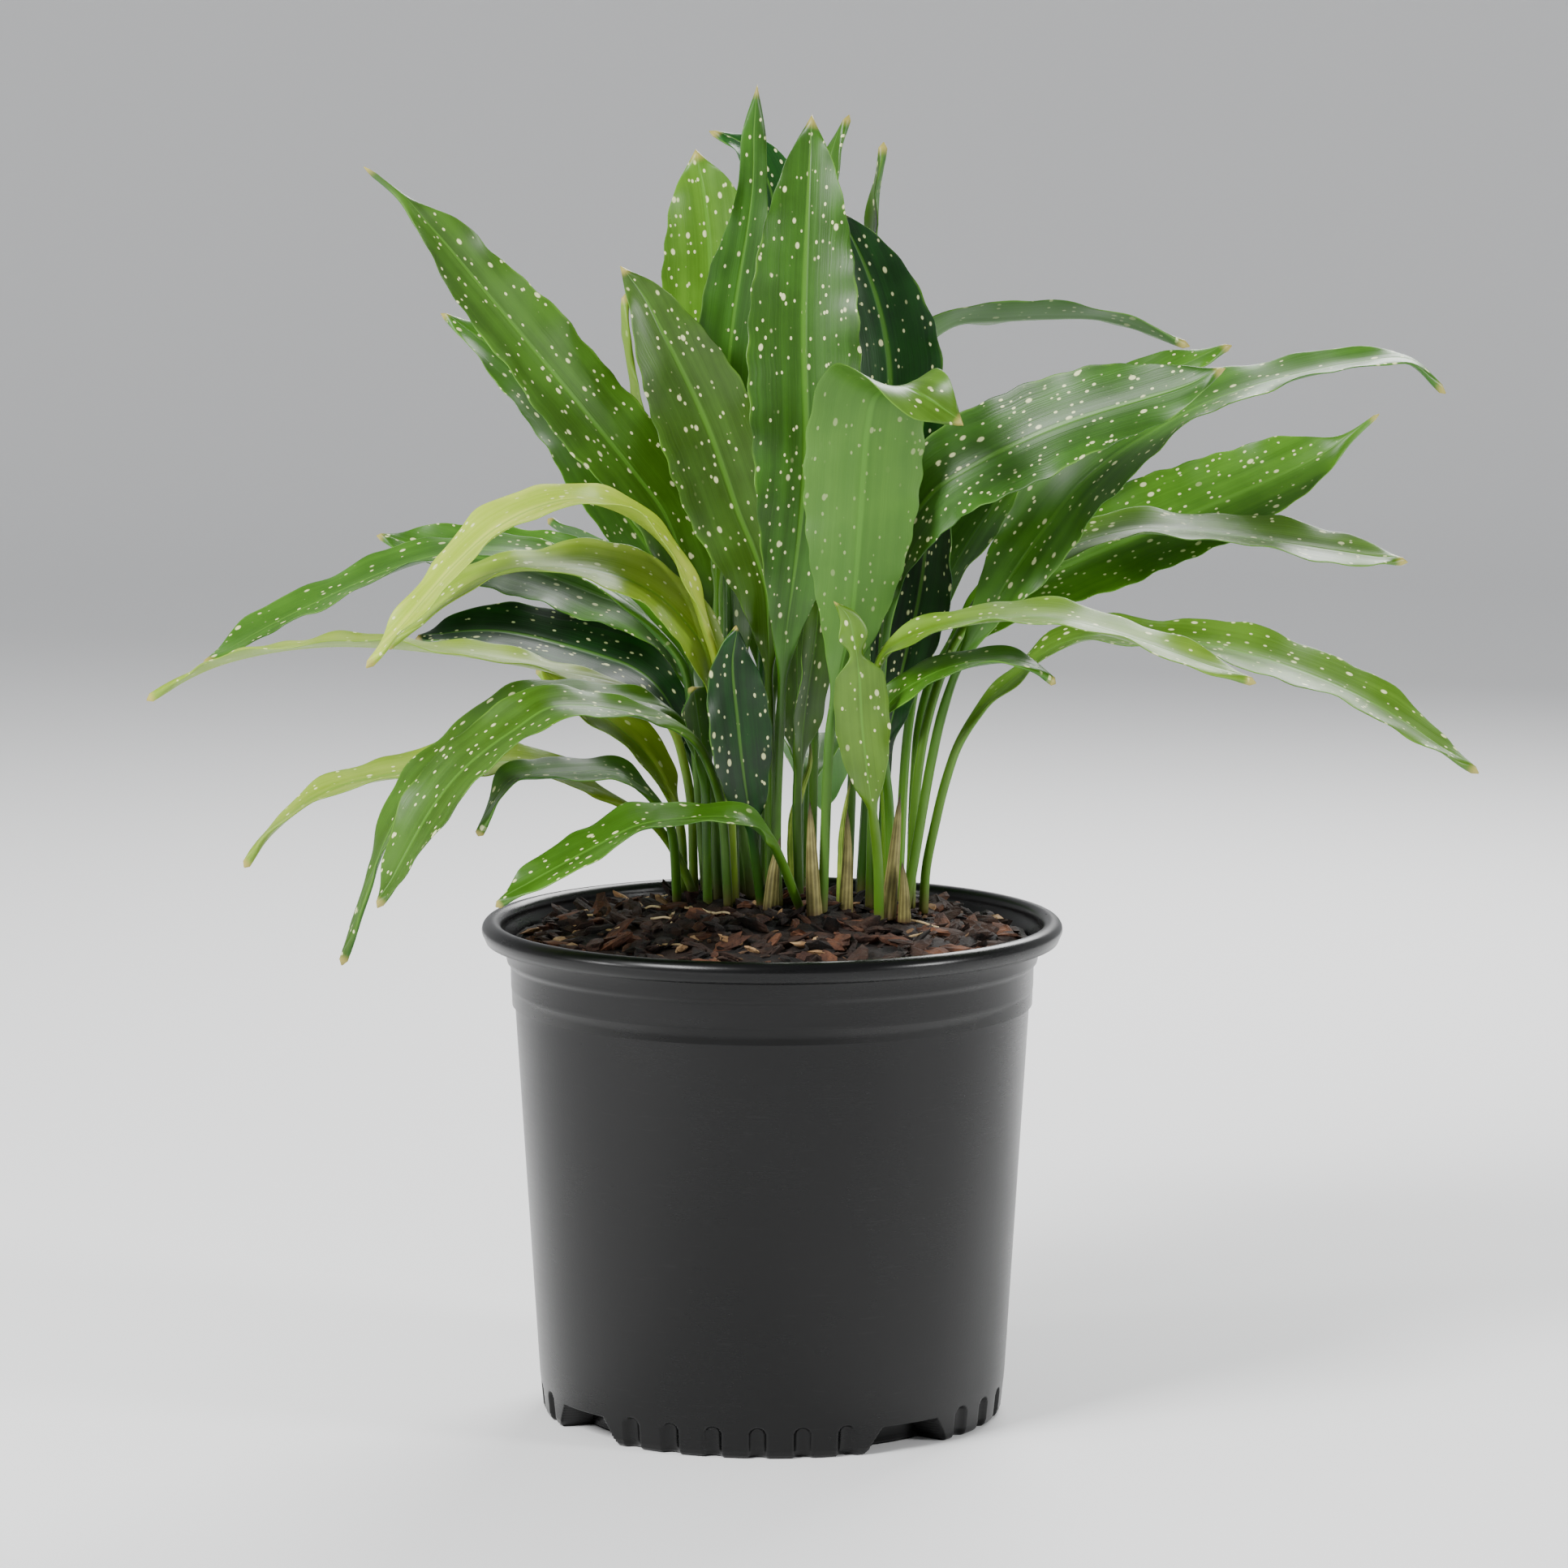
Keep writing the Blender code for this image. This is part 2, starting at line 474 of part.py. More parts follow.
def build():
    clear_scene()
    plastic = material("pot_plastic", (0.012, 0.013, 0.014), 0.38)
    mix_look = material("bark_mix", (0.035, 0.02, 0.012), 0.95)
    pot = turned("pot", pot_profile(), plastic)
    cut_base(pot, plastic)
    turned("potting_mix",
           [(0, MIX_BOTTOM_Z), (86, MIX_BOTTOM_Z), (90, 18), (108, 24), (121, 200)]
           + [(MIX_RADIUS, 222.5), (MIX_RADIUS, MIX_EDGE_Z)]
           + [(r, mix_height(r, 0)) for r in (110, 90, 60, 30)]
           + [(0, mix_height(0, 0))], mix_look, 48)
    for plan in LEAVES:
        leaf_object(plan, material(plan["name"] + "_green", (0.05, 0.16, 0.03), 0.35))
    for name, radius, points in SPIKES:
        sheath = name.startswith("sheath")
        colour = (0.16, 0.17, 0.06) if sheath else (0.14, 0.24, 0.05)
        rolled_object(name, radius, points, material(name + "_green", colour, 0.5))


build()
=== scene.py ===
"""Looks for the potted cast iron plant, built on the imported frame: pot, mix, chips and every leaf.

Lengths are in metres and angles round the pot in degrees, with 0 at the front."""

import math
from itertools import permutations

import bpy
import numpy as np
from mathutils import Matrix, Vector


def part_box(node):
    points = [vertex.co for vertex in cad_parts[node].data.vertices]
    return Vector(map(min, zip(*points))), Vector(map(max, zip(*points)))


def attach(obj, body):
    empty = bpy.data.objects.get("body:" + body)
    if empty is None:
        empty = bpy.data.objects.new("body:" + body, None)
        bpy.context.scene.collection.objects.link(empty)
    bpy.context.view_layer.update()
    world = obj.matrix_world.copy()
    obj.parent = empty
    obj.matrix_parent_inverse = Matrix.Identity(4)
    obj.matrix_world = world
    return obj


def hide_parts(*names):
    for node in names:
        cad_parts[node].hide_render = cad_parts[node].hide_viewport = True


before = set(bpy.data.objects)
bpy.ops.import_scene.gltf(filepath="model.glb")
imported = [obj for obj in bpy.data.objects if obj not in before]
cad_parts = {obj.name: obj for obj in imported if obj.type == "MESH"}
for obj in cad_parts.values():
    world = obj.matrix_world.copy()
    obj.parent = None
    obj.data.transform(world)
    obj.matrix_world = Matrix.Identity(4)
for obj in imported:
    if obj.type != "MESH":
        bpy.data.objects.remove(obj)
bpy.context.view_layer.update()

POT_LOW, POT_HIGH = (np.array(c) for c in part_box("pot"))
MIX_LOW, MIX_HIGH = (np.array(c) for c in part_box("potting_mix"))
RIM = (POT_HIGH[0] - POT_LOW[0]) / 2
HEIGHT = POT_HIGH[2]
MIX_R = (MIX_HIGH[0] - MIX_LOW[0]) / 2
MIX_HEAP = 0.017
DRAWN_RIM = 0.140
DRAWN_HEIGHT = 0.241
POT_SIDES = 720
DRAIN_ANGLES = (-54, 36, 126, 216)
POCKET_HALF_ANGLE = 10.0
POCKET_HEIGHT = 0.013
POCKET_DEPTH = 0.0155
FOOT_CENTRES = (-9, 81, 171, 261)
FOOT_RADIUS = 0.112
FLUTES_PER_FOOT = 6
FLUTE_STEP = 11.0
FLUTE_HALF_WIDTH = 0.0046
FLUTE_SPRING = 0.0110
FLUTE_DEPTH = 0.0030

LENGTHWISE = 130
ACROSS = 26
BLADE_THICK = 0.0011
STALK_HALF = 0.0022
SPIKE_RINGS = 60
SPIKE_SIDES = 36

STRAW_COUNT = 26
STRAW_RINGS = 7
STRAW_SIDES = 5
STRAW_RADIUS = 0.0006

FLOOR_R = 4.0
WALL_R = 2.5
FLOOR_SIDES = 96
CAMERA_LENS = 147.7
CAMERA_PLACE = (0.0057, -3.0667, 0.7154)
CAMERA_DOWN = 7.609

RNG = np.random.default_rng(7)

# ---------------------------------------------------------------- shader maths


class Sock:
    """A socket whose operators add Math nodes."""

    def __init__(self, tree, socket):
        self.tree = tree
        self.socket = socket

    def node(self, kind, settings=None, inputs=None, out=0):
        """A new node: its settings first, then a value or a link for each socket."""
        made = self.tree.nodes.new(kind)
        for key, value in (settings or {}).items():
            setattr(made, key, value)
        for key, value in (inputs or {}).items():
            if isinstance(value, Sock):
                self.tree.links.new(value.socket, made.inputs[key])
            else:
                made.inputs[key].default_value = value
        return Sock(self.tree, made.outputs[out])

    def math(self, operation, *values):
        return self.node("ShaderNodeMath", {"operation": operation}, dict(enumerate(values)))

    def __add__(self, other):
        return self.math("ADD", self, other)

    __radd__ = __add__

    def __sub__(self, other):
        return self.math("SUBTRACT", self, other)

    def __rsub__(self, other):
        return self.math("SUBTRACT", other, self)

    def __mul__(self, other):
        return self.math("MULTIPLY", self, other)

    __rmul__ = __mul__

    def above(self, low, high):
        """0 below low, 1 above high, smooth between; a falling step if high is under low."""
        settings = {"interpolation_type": "SMOOTHSTEP"}
        if high > low:
            return self.node("ShaderNodeMapRange", settings, {0: self, 1: low, 2: high})
        return self.node("ShaderNodeMapRange", settings, {0: self, 1: high, 2: low, 3: 1.0, 4: 0.0})

    def mix(self, first, second):
        """The colour first where this is 0 and second where it is 1."""
        inputs = {0: self, 6: first, 7: second}
        return self.node("ShaderNodeMix", {"data_type": "RGBA"}, inputs, out=2)

    def noise(self, scale, detail=3.0, rough=0.5):
        return self.node("ShaderNodeTexNoise", {}, {"Vector": self, "Scale": scale,
                                                   "Detail": detail, "Roughness": rough})


def rgb(r, g, b):
    """A colour given as 0-255 display values, made linear."""
    return tuple((c / 255) ** 2.2 for c in (r, g, b)) + (1.0,)


def new_material(name):
    """A material, its Principled shader, and a Sock that adds nodes to it."""
    made = bpy.data.materials.new(name)
    made.use_nodes = True
    shader = made.node_tree.nodes["Principled BSDF"]
    return made, shader, Sock(made.node_tree, None)


def feed(shader, kit, **values):
    """Links or sets the shader's sockets, named with _ for a space."""
    for key, value in values.items():
        socket = shader.inputs[key.replace("_", " ")]
        if isinstance(value, Sock):
            kit.tree.links.new(value.socket, socket)
        else:
            socket.default_value = value


def attribute(kit, name, part):
    """One component of a mesh attribute, and the whole of it."""
    made = kit.tree.nodes.new("ShaderNodeAttribute")
    made.attribute_name = name
    split = kit.node("ShaderNodeSeparateXYZ", {}, {0: Sock(kit.tree, made.outputs["Vector"])}, part)
    return split, Sock(kit.tree, made.outputs["Vector"])


def stretched(kit, vector, scale):
    """The vector times a scale for each axis."""
    return kit.node("ShaderNodeVectorMath", {"operation": "MULTIPLY"}, {0: vector, 1: scale})


def leaf_material():
    """Glossy green blade: veins along it, cream spots, pale midrib, paler underside, dry tip.

    Attribute flat is (metres along, metres across, seed), place is (fraction along, -1..1 across,
    1 on the upper face), look is (brightness, yellowness, spots)."""
    made, shader, kit = new_material("leaf")
    _, flat = attribute(kit, "flat", 0)
    s, _ = attribute(kit, "place", 0)
    q, _ = attribute(kit, "place", 1)
    upper, _ = attribute(kit, "place", 2)
    bright, _ = attribute(kit, "look", 0)
    yellow, _ = attribute(kit, "look", 1)
    spotty, _ = attribute(kit, "look", 2)
    veins = stretched(kit, flat, (14.0, 1500.0, 1.0)).noise(1.0, 2.0)
    bands = stretched(kit, flat, (5.0, 170.0, 1.0)).noise(1.0, 3.0)
    cloud = flat.noise(38.0, 4.0)
    deep = bright.mix(rgb(2, 28, 6), rgb(20, 96, 4))
    green = yellow.mix(deep, rgb(162, 190, 40))
    light = yellow.mix(bright.mix(rgb(8, 56, 10), rgb(44, 126, 10)), rgb(200, 214, 84))
    mixed = (bands * 0.6 + cloud * 0.5).above(0.42, 0.72).mix(green, light)
    mixed = (veins.above(0.45, 0.75) * 0.35).mix(mixed, light)
    edge = q.math("ABSOLUTE", q)
    mixed = (edge.above(0.93, 1.0) * cloud.above(0.4, 0.6) * 0.5).mix(mixed, rgb(110, 160, 50))
    rib = edge.above(0.075, 0.02) * s.above(0.3, 0.45)
    mixed = (rib * 0.45).mix(mixed, rgb(96, 150, 48))
    spots = None
    for scale, limit in ((190.0, 0.24), (380.0, 0.27)):
        cells = stretched(kit, flat, (scale * 0.62, scale, 3.7))
        inputs = {"Vector": cells, "Scale": 1.0, "Randomness": 1.0}
        near = kit.node("ShaderNodeTexVoronoi", {}, inputs)
        cell_colour = kit.node("ShaderNodeTexVoronoi", {}, inputs, 1)
        chance = kit.node("ShaderNodeSeparateColor", {}, {0: cell_colour})
        here = near.above(limit, limit * 0.62) * (chance + spotty * 0.5).above(0.92, 0.97)
        spots = here if spots is None else spots.math("MAXIMUM", spots, here)
    spots = spots * s.above(0.28, 0.4) * (1 - rib) * (0.5 + upper * 0.5)
    mixed = (spots * 0.9).mix(mixed, rgb(226, 230, 168))
    under = yellow.mix(rgb(30, 98, 40), rgb(168, 200, 64))
    under = (veins * 0.5).mix(under, rgb(16, 70, 20))
    mixed = ((1 - upper) * 0.5).mix(mixed, under)
    stalk = s.above(0.3, 0.12)
    mixed = (stalk * 0.7).mix(mixed, bright.mix(rgb(44, 82, 22), rgb(104, 150, 48)))
    mixed = (s.above(0.05, 0.0) * 0.7).mix(mixed, rgb(96, 74, 52))
    mixed = ((s + cloud * 0.02).above(0.99, 1.004) * 0.8).mix(mixed, rgb(176, 160, 84))
    height = veins * 0.35 + bands * 0.8 + cloud * 0.5 - rib * 0.8
    bump = kit.node("ShaderNodeBump", {}, {"Height": height, "Strength": 0.35, "Distance": 0.0006})
    rough = 0.27 + veins * 0.10 + cloud * 0.16 + (1 - upper) * 0.16
    feed(shader, kit, Base_Color=mixed, Roughness=rough, Normal=bump)
    shader.inputs["Specular IOR Level"].default_value = 0.38
    shader.inputs["Coat Weight"].default_value = 0.05
    shader.inputs["Coat Roughness"].default_value = 0.28
    shader.inputs["Subsurface Weight"].default_value = 0.12
    shader.inputs["Subsurface Radius"].default_value = (0.0015, 0.003, 0.0008)
    return made


def pot_material():
    """Satin black moulded plastic with dust, fine scuffs and a faint grain."""
    made, shader, kit = new_material("pot_plastic")
    place = kit.node("ShaderNodeTexCoord", {}, {}, 3)
    dust = place.noise(16.0, 6.0, 0.6)
    grain = place.noise(900.0, 2.0)
    scuffs = stretched(kit, place, (60.0, 60.0, 900.0)).noise(1.0, 3.0)
    colour = (dust.above(0.5, 0.75) * 0.3).mix(rgb(3, 4, 5), rgb(12, 12, 12))
    colour = (scuffs.above(0.62, 0.72) * 0.12).mix(colour, rgb(44, 44, 44))
    height = grain * 0.3 + scuffs * 0.2
    bump = kit.node("ShaderNodeBump", {}, {"Height": height, "Strength": 0.25, "Distance": 0.0003})
    shader.inputs["Specular IOR Level"].default_value = 0.30
    feed(shader, kit, Base_Color=colour, Roughness=0.20 + dust * 0.12 + scuffs * 0.05, Normal=bump)
    return made


def bark_material(name, dark, light):
    """Rough bark from dark to light in patches, with fine dark pits and fibres in relief."""
    made, shader, kit = new_material(name)
    place = kit.node("ShaderNodeTexCoord", {}, {}, 3)
    broad = place.noise(55.0, 5.0, 0.65)
    fine = place.noise(420.0, 4.0, 0.7)
    fibres = stretched(kit, place, (300.0, 1400.0, 900.0)).noise(1.0, 3.0)
    colour = broad.above(0.36, 0.66).mix(dark, light)
    colour = (fine.above(0.52, 0.7) * 0.6).mix(colour, rgb(18, 12, 9))
    height = fine + fibres * 0.5
    bump = kit.node("ShaderNodeBump", {}, {"Height": height, "Strength": 0.8, "Distance": 0.0012})
    feed(shader, kit, Base_Color=colour, Roughness=0.78 + fine * 0.2, Normal=bump)
    return made


def sheath_material(name, low, high):
    """A dry ribbed skin that darkens to its point. place is (fraction along, across, side)."""
    made, shader, kit = new_material(name)
    s, _ = attribute(kit, "place", 0)
    q, _ = attribute(kit, "place", 1)
    ribs = q.math("SINE", q * 60.0)
    cloud = kit.node("ShaderNodeTexCoord", {}, {}, 3).noise(120.0, 4.0)
    colour = (cloud * 0.8 + ribs * 0.12).above(0.2, 0.7).mix(low, high)
    colour = s.above(0.75, 1.0).mix(colour, rgb(52, 40, 26))
    colour = (s.above(0.12, 0.0) * 0.7).mix(colour, rgb(84, 60, 40))
    height = ribs * 0.4 + cloud
    bump = kit.node("ShaderNodeBump", {}, {"Height": height, "Strength": 0.4, "Distance": 0.0005})
    feed(shader, kit, Base_Color=colour, Roughness=0.55 + cloud * 0.2, Normal=bump)
    return made


# ---------------------------------------------------------------- meshes


def grid_faces(rows, cols):
    """Quads of a grid whose columns wrap round."""
    r = np.arange(rows - 1)[:, None]
    c = np.arange(cols)[None, :]
    n = (c + 1) % cols
    quads = np.stack([r * cols + c, r * cols + n, (r + 1) * cols + n, (r + 1) * cols + c], -1)
    return quads.reshape(-1, 4).tolist()


def add_mesh(name, points, faces, look, smooth=True, attributes=None):
    """A visible piece on the root body and any vector attributes."""
    mesh = bpy.data.meshes.new(name)
    mesh.from_pydata(np.asarray(points).tolist(), [], faces)
    mesh.polygons.foreach_set("use_smooth", [smooth] * len(mesh.polygons))
    for key, values in (attributes or {}).items():
        layer = mesh.attributes.new(key, "FLOAT_VECTOR", "POINT")
        layer.data.foreach_set("vector", np.ascontiguousarray(values, np.float32).ravel())
    mesh.materials.append(look)
    mesh.update()
    made = bpy.data.objects.new(name, mesh)
    bpy.context.scene.collection.objects.link(made)
    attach(made, "root")
    return made


def node_mesh(name):
    """Merged vertices and each one's neighbours of a CAD node."""
    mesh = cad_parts[name].data
    points = np.empty(len(mesh.vertices) * 3, np.float32)
    mesh.vertices.foreach_get("co", points)
    points = points.reshape(-1, 3).astype(float)
    cells = np.round(points * 2e5)
    _, first, index = np.unique(cells, axis=0, return_index=True, return_inverse=True)
    index = index.reshape(-1)
    near = [set() for _ in first]
    for edge in mesh.edges:
        a, b = index[edge.vertices[0]], index[edge.vertices[1]]
        if a != b:
            near[a].add(b)
            near[b].add(a)
    return points[first], near


def foot_ring(points, size):
    """The ring of corners that stands level on the mix."""
    best = None
    for z in np.unique(np.round(points[:, 2], 5)):
        ring = np.flatnonzero(np.abs(points[:, 2] - z) < 1.5e-5)
        spread = np.ptp(points[ring], axis=0).max() if len(ring) else 1
        if len(ring) == size and spread < 0.012:
            from_axis = np.hypot(*points[ring].mean(0)[:2])
            surface = MIX_HIGH[2] - MIX_HEAP * (from_axis / MIX_R) ** 2
            off = abs(points[ring, 2].mean() - surface)
            if best is None or off < best[0]:
                best = (off, ring)
    return list(best[1])


def node_rings(name, size):
    """A node's rings from foot to tip, as an array (ring, corner, xyz), and its tip."""
    points, near = node_mesh(name)
    ring = foot_ring(points, size)
    seen = set(ring)
    rings = [points[ring]]
    while True:
        after = set().union(*(near[i] for i in ring)) - seen
        if len(after) != size:
            break
        ring = sorted(after)
        seen |= after
        centre = rings[-1].mean(0)
        new = points[ring]
        if size == 4:
            old = rings[-1] - centre
            moved = new - new.mean(0)
            order = min(permutations(range(4)),
                        key=lambda p: ((moved[list(p)] - old) ** 2).sum())
            new = new[list(order)]
        rings.append(new)
    return np.array(rings), points[list(after)].mean(0) if after else rings[-1].mean(0)


def resample(values, count):
    """count evenly spaced samples of a Catmull-Rom curve through the rows of values."""
    rows = np.vstack([2 * values[0] - values[1], values, 2 * values[-1] - values[-2]])
    at = np.linspace(0, len(values) - 1, count)
    i = np.minimum(at.astype(int), len(values) - 2)
    t = (at - i)[:, None]
    a, b, c, d = rows[i], rows[i + 1], rows[i + 2], rows[i + 3]
    square, cube = (2 * a - 5 * b + 4 * c - d) * t**2, (3 * b - a - 3 * c + d) * t**3
    return 0.5 * (2 * b + (c - a) * t + square + cube)


def unit(v):
    """Each row of v at length 1."""
    return v / np.maximum(np.linalg.norm(v, axis=-1, keepdims=True), 1e-9)


def leaf_skeleton(name):
    """Centre line, across and up directions and half width at each CAD station."""
    rings, tip = node_rings(name, 4)
    widths = [max(np.linalg.norm(r[i] - r[j]) for i in range(4) for j in range(i)) for r in rings]
    wide = rings[int(np.argmax(widths))]
    pairs = [(i, j) for i in range(4) for j in range(i)]
    left, right = max(pairs, key=lambda p: np.linalg.norm(wide[p[0]] - wide[p[1]]))
    one, two = [i for i in range(4) if i not in (left, right)]
    middle = (wide[left] + wide[right]) / 2
    if np.linalg.norm(wide[two] - middle) < np.linalg.norm(wide[one] - middle):
        one, two = two, one
    centre = np.vstack([(rings[:, one] + rings[:, two]) / 2, tip])
    span = rings[:, left] - rings[:, right]
    half = np.append(np.linalg.norm(span, axis=1) / 2, 0.0)
    span = np.vstack([span, span[-1:]])
    up = rings[:, one] - rings[:, two]
    up = np.vstack([up, up[-1:]])
    return centre, unit(span), unit(up), half


def leaf_surface(name, look, looks):
    """A blade as a closed skin: the angle t goes round it, q = cos t across, sin t picks the face.

    Point = centre + across*w*q + up*(fold*w*|q|^1.5 + ripple + side*thickness*(1-q^2)^0.5)."""
    bright, yellow, spotty, seed = looks
    centre, span, up, half = leaf_skeleton(name)
    centre = resample(centre, LENGTHWISE)
    span = unit(resample(span, LENGTHWISE))
    up = resample(up, LENGTHWISE)
    along = unit(np.gradient(centre, axis=0))
    up = unit(up - span * (up * span).sum(1, keepdims=True))
    w = np.maximum(resample(half[:, None], LENGTHWISE)[:, 0], 0.0)
    s = np.linspace(0, 1, LENGTHWISE)
    blade = np.clip((w - 0.0026) / 0.006, 0, 1)
    w = np.where(blade > 0, w, np.minimum(w, STALK_HALF + 0.0004))
    w = np.maximum(w, 0.0002)
    w[-1] = 0.00005
    t = 2 * np.pi * (np.arange(2 * ACROSS) + 0.5) / (2 * ACROSS)
    q = np.cos(t)
    side = np.sin(t)
    length = np.cumsum(np.r_[0, np.linalg.norm(np.diff(centre, axis=0), axis=1)])
    rng = np.random.default_rng(seed)
    phase = rng.uniform(0, 6.28, 4)
    waves = (np.sin(length * 95 + phase[0]) + 0.6 * np.sin(length * 210 + phase[1]))[:, None]
    other = (np.sin(length * 88 + phase[2]) + 0.6 * np.sin(length * 190 + phase[3]))[:, None]
    edge = np.abs(q)[None, :]
    ripple = np.where(q > 0, waves, other) * edge**2.5 * 0.0013 * blade[:, None]
    fold = 0.22 * w[:, None] * edge**1.3 * blade[:, None]
    rib = np.exp(-((q[None, :] * w[:, None]) / 0.0012) ** 2) * blade[:, None]
    skin = BLADE_THICK / 2 + 0.0006 * np.exp(-((q[None, :] * w[:, None]) / 0.002) ** 2)
    round_half = np.minimum(STALK_HALF, 6 * w)[:, None]
    thick = blade[:, None] * skin + (1 - blade[:, None]) * round_half
    rise = np.sqrt(np.maximum(1 - q**2, 0))[None, :] ** (0.35 + 0.65 * (1 - blade[:, None]))
    lift = fold + ripple + np.sign(side)[None, :] * thick * rise - 0.0005 * rib * (side > 0)
    nicks = 1 + 0.02 * np.sin(length * 410 + phase[1])[:, None] * edge * blade[:, None]
    points = (centre[:, None] + span[:, None] * (w[:, None] * q * nicks)[..., None]
              + up[:, None] * lift[..., None])
    cols = 2 * ACROSS
    flat = np.stack([np.repeat(length[:, None], cols, 1), w[:, None] * q,
                     np.full((LENGTHWISE, cols), seed * 0.37)], -1)
    place = np.stack([np.repeat(s[:, None], cols, 1), np.repeat(q[None], LENGTHWISE, 0),
                      np.repeat((side > 0)[None].astype(float), LENGTHWISE, 0)], -1)
    tone = np.broadcast_to(np.array([bright, yellow, spotty]), (LENGTHWISE * cols, 3))
    faces = grid_faces(LENGTHWISE, cols)
    turns = np.cross(span, up)
    if (turns * along).sum() < 0:
        faces = [f[::-1] for f in faces]
        caps = [list(range(cols)),
                list(range(LENGTHWISE * cols - 1, (LENGTHWISE - 1) * cols - 1, -1))]
    else:
        caps = [list(range(cols - 1, -1, -1)),
                list(range((LENGTHWISE - 1) * cols, LENGTHWISE * cols))]
    made = add_mesh(name + "_skin", points.reshape(-1, 3), faces + caps, look, True,
                    {"flat": flat.reshape(-1, 3), "place": place.reshape(-1, 3), "look": tone})
    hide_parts(name)


def spike_surface(name, look, twist):
    """A rolled leaf or sheath: a round spike whose skin laps over itself in a spiral ridge.

    r = radius(s) * (1 + 0.16*exp(-((t - 3*twist*s)/0.35)^2)) * (1 + 0.02*cos 9t)."""
    rings, tip = node_rings(name, 6)
    centre = resample(np.vstack([rings.mean(1), tip]), SPIKE_RINGS)
    from_centre = np.linalg.norm(rings - rings.mean(1, keepdims=True), axis=2).mean(1)
    radius = resample(np.append(from_centre, 0.0)[:, None], SPIKE_RINGS)[:, 0]
    radius = np.maximum(radius, 0.00005)
    t = 2 * np.pi * np.arange(SPIKE_SIDES) / SPIKE_SIDES
    s = np.linspace(0, 1, SPIKE_RINGS)
    past_ridge = np.angle(np.exp(1j * (t[None] - twist * s[:, None] * 3)))
    lap = 1 + 0.16 * np.exp(-((past_ridge / 0.35) ** 2))
    r = radius[:, None] * lap * (1 + 0.02 * np.cos(9 * t)[None])
    points = np.stack([centre[:, 0:1] + r * np.cos(t), centre[:, 1:2] + r * np.sin(t),
                       np.repeat(centre[:, 2:3], SPIKE_SIDES, 1)], -1)
    place = np.stack([np.repeat(s[:, None], SPIKE_SIDES, 1),
                      np.repeat(t[None] / 6.283, SPIKE_RINGS, 0),
                      np.ones((SPIKE_RINGS, SPIKE_SIDES))], -1)
    caps = [list(range(SPIKE_SIDES - 1, -1, -1)),
            list(range((SPIKE_RINGS - 1) * SPIKE_SIDES, SPIKE_RINGS * SPIKE_SIDES))]
    faces = grid_faces(SPIKE_RINGS, SPIKE_SIDES) + caps
    made = add_mesh(name + "_skin", points.reshape(-1, 3), faces, look, True,
                    {"place": place.reshape(-1, 3)})
    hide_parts(name)


def arc(cx, cz, r, start, end, count):
    """Points of a circular arc in a section, from start to end degrees."""
    turn = np.radians(np.linspace(start, end, count))
    return [(cx + r * math.cos(a), cz + r * math.sin(a)) for a in turn]


def pot_surface(look):
    """The pot turned from its section, with arch-topped flutes and drain pockets pressed in.

    r = section radius - FLUTE_DEPTH * flute(angle, z) - POCKET_DEPTH * pocket(angle, z)."""
    outer = [(0.002, 0.0), (0.06, 0.0), (0.094, 0.0)] + arc(0.108, 0.003, 0.003, -90, 0, 5)
    outer += [(0.1110 + 0.00005 * z, 0.0005 * z) for z in range(7, 41)]
    outer += [(0.1130 + (0.1243 - 0.1130) * i / 24, 0.020 + 0.183 * i / 24)
              for i in range(1, 25)]
    outer += [(0.1248, 0.2055), (0.1258, 0.2072), (0.126, 0.209), (0.1262, 0.2185),
              (0.1266, 0.2200), (0.1278, 0.2208), (0.1282, 0.2225), (0.1284, 0.2290),
              (0.1300, 0.2302), (0.1380, 0.2306)]
    outer += arc(0.1352, 0.2360, 0.0048, -35, 180, 18)
    inner = [(0.1300, 0.2330), (0.1268, 0.2300), (0.1262, 0.2200), (0.1255, 0.2000)]
    section = np.array(outer + inner) * (RIM / DRAWN_RIM, HEIGHT / DRAWN_HEIGHT)
    section[:, 1] = np.minimum(section[:, 1], HEIGHT)
    turn = 2 * np.pi * np.arange(POT_SIDES) / POT_SIDES
    front = np.degrees(np.arctan2(np.cos(turn), -np.sin(turn)))
    r = np.repeat(section[:, 0:1], POT_SIDES, 1)
    z = np.repeat(section[:, 1:2], POT_SIDES, 1)
    outside = (np.arange(len(section)) < len(outer) - 14)[:, None] & (r > 0.105)
    for centre in FOOT_CENTRES:
        for i in range(FLUTES_PER_FOOT):
            middle = centre + (i - (FLUTES_PER_FOOT - 1) / 2) * FLUTE_STEP
            off = np.radians((front - middle + 180) % 360 - 180)[None] * FOOT_RADIUS
            top = FLUTE_SPRING + np.sqrt(np.maximum(FLUTE_HALF_WIDTH**2 - off**2, 0))
            within = np.clip((FLUTE_HALF_WIDTH - np.abs(off)) / 0.0010, 0, 1)
            inside = within * np.clip((top - z) / 0.0012, 0, 1)
            r = r - outside * FLUTE_DEPTH * inside * (1 - (off / 0.0060) ** 2)
    for centre in DRAIN_ANGLES:
        off = np.abs((front - centre + 180) % 360 - 180)[None]
        level = np.clip((POCKET_HEIGHT - z) / 0.0015, 0, 1)
        reach = POCKET_HALF_ANGLE * (1.25 - 0.45 * np.clip(z / POCKET_HEIGHT, 0, 1))
        inside = np.clip((reach - off) / 0.8, 0, 1) * level
        r = r - outside * POCKET_DEPTH * inside
    points = np.stack([r * np.cos(turn), r * np.sin(turn), z], -1)
    caps = [list(range(POT_SIDES - 1, -1, -1)),
            list(range((len(section) - 1) * POT_SIDES, len(section) * POT_SIDES))]
    faces = grid_faces(len(section), POT_SIDES) + caps
    made = add_mesh("pot_shell", points.reshape(-1, 3), faces, look)
    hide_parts("pot")


